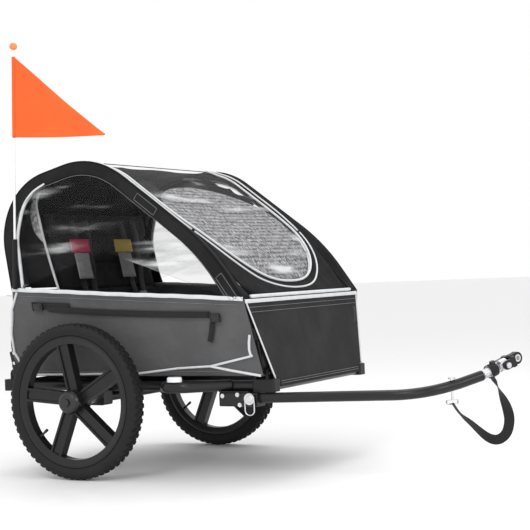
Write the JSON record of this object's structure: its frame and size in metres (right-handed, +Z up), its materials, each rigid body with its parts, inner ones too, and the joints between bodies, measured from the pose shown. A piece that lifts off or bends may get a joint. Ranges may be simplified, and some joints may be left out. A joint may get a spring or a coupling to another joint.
{
  "type": "child bicycle trailer",
  "caption": "Covered child trailer that a bicycle tows: steel floor frame, folding side arches, fabric cabin with clear windows, spoked wheels, tow bar and flag.",
  "frame": {"origin": "middle of the whole trailer's footprint, on the ground", "axes": "+X forward along the tow bar, +Y the trailer's left, +Z up"},
  "size_m": [1.3978, 0.796, 1.158],
  "materials": {
    "tyre_rubber": "knobby tread, matt",
    "tube_rubber": "butyl rubber",
    "rim_plastic": "satin moulded nylon",
    "cap_plastic": "satin black",
    "bearing_steel": "ground steel",
    "axle_steel": "zinc plated",
    "frame_paint": "satin black powder coat",
    "corner_plastic": "moulded, fine grain",
    "reflector_white": "white reflector",
    "canopy_fabric": "black woven polyester",
    "side_fabric": "mid grey woven polyester",
    "front_fabric": "dark grey woven polyester",
    "floor_fabric": "coated black polyester",
    "seat_fabric": "dark padded polyester",
    "window_film": "clear PVC film",
    "webbing": "black ribbed webbing",
    "buckle_plastic": "black acetal",
    "pole_fibre": "white glass fibre rod",
    "flag_orange": "orange nylon",
    "zinc": "bright zinc plate"
  },
  "bodies": {
    "root": {"axle_beam": "frame_paint", "axle_brackets": "frame_paint", "flex_spring": "zinc", "floor_panel": "floor_fabric", "front_corners": "corner_plastic", "front_cross_tube": "frame_paint", "front_panel": "front_fabric", "guard_reflectors": "reflector_white", "harness_buckles": "buckle_plastic", "harnesses": "webbing", "hinge_pins": "zinc", "hitch_fork": "zinc", "left_axle": "axle_steel", "left_rail": "frame_paint", "left_side_panel": "side_fabric", "rear_corners": "corner_plastic", "rear_cross_tube": "frame_paint", "rear_panel": "front_fabric", "receiver_bolts": "zinc", "right_axle": "axle_steel", "right_rail": "frame_paint", "right_side_panel": "side_fabric", "roof_panel": "canopy_fabric", "safety_strap": "webbing", "seat_back": "seat_fabric", "seat_base": "seat_fabric", "side_bands": "canopy_fabric", "side_buckles": "buckle_plastic", "side_straps": "webbing", "strap_ring": "zinc", "tow_bar": "frame_paint", "tow_receiver": "frame_paint", "wheel_guards": "frame_paint", "yaw_pin": "corner_plastic"},
    "right_wheel": {"right_tyre": "tyre_rubber", "right_inner_tube": "tube_rubber", "right_rim": "rim_plastic", "right_bearings": "bearing_steel", "right_hub_cap": "cap_plastic"},
    "left_wheel": {"left_tyre": "tyre_rubber", "left_inner_tube": "tube_rubber", "left_rim": "rim_plastic", "left_bearings": "bearing_steel", "left_hub_cap": "cap_plastic"},
    "right_button": {"right_axle_button": "cap_plastic"},
    "left_button": {"left_axle_button": "cap_plastic"},
    "right_arch": {"right_arch": "frame_paint", "right_side_window": "window_film", "flag_sleeve": "webbing"},
    "left_arch": {"left_arch": "frame_paint", "left_side_window": "window_film"},
    "front_cover": {"front_cover": "window_film"},
    "hitch_swivel": {"hitch_swivel": "zinc", "pitch_bolt": "zinc"},
    "hitch_arm": {"hitch_arm": "frame_paint", "axle_bushing": "zinc"},
    "hitch_pin": {"hitch_pin": "zinc", "wire_lock": "zinc"},
    "flag_pole": {"flag_pole": "pole_fibre", "flag": "flag_orange"}
  },
  "joints": [
    {"name": "right_wheel_spin", "type": "hinge", "parent": "root", "child": "right_wheel", "pos_m": [-0.38989, -0.354, 0.203], "axis": [0, 1, 0], "continuous": true},
    {"name": "left_wheel_spin", "type": "hinge", "parent": "root", "child": "left_wheel", "pos_m": [-0.38989, 0.354, 0.203], "axis": [0, 1, 0], "continuous": true},
    {"name": "right_axle_release", "type": "slide", "parent": "root", "child": "right_button", "axis": [0, 1, 0], "range_m": [0, 0.004], "stiffness_N_per_m": 1500},
    {"name": "left_axle_release", "type": "slide", "parent": "root", "child": "left_button", "axis": [0, -1, 0], "range_m": [0, 0.004], "stiffness_N_per_m": 1500},
    {"name": "right_arch_fold", "type": "hinge", "parent": "root", "child": "right_arch", "pos_m": [0, -0.25, 0.266], "axis": [-1, 0, 0], "range_deg": [0, 93], "deforming": ["roof_panel", "side_bands", "front_cover", "front_panel", "rear_panel", "seat_base", "seat_back", "harnesses", "harness_buckles", "right_side_panel", "right_side_window"]},
    {"name": "left_arch_fold", "type": "hinge", "parent": "root", "child": "left_arch", "pos_m": [0, 0.25, 0.292], "axis": [1, 0, 0], "range_deg": [0, 88], "deforming": ["left_side_panel", "left_side_window"]},
    {"name": "front_cover_open", "type": "hinge", "parent": "root", "child": "front_cover", "pos_m": [-0.36989, 0, 0.82542], "axis": [0, -1, 0], "range_deg": [0, 80]},
    {"name": "hitch_yaw", "type": "hinge", "parent": "root", "child": "hitch_swivel", "pos_m": [0.65061, -0.07623, 0.26067], "axis": [-0.1545, -0.2676, 0.9511], "range_deg": [-40, 40]},
    {"name": "hitch_pitch", "type": "hinge", "parent": "hitch_swivel", "child": "hitch_arm", "pos_m": [0.66345, -0.05399, 0.26901], "axis": [-0.866, 0.5, 0], "range_deg": [-35, 35]},
    {"name": "hitch_pin_pull", "type": "slide", "parent": "root", "child": "hitch_pin", "axis": [0, -1, 0], "range_m": [0, 0.062]},
    {"name": "flag_pole_lift", "type": "slide", "parent": "right_arch", "child": "flag_pole", "axis": [0.042, 0, 0.9991], "range_m": [0, 0.14]}
  ]
}
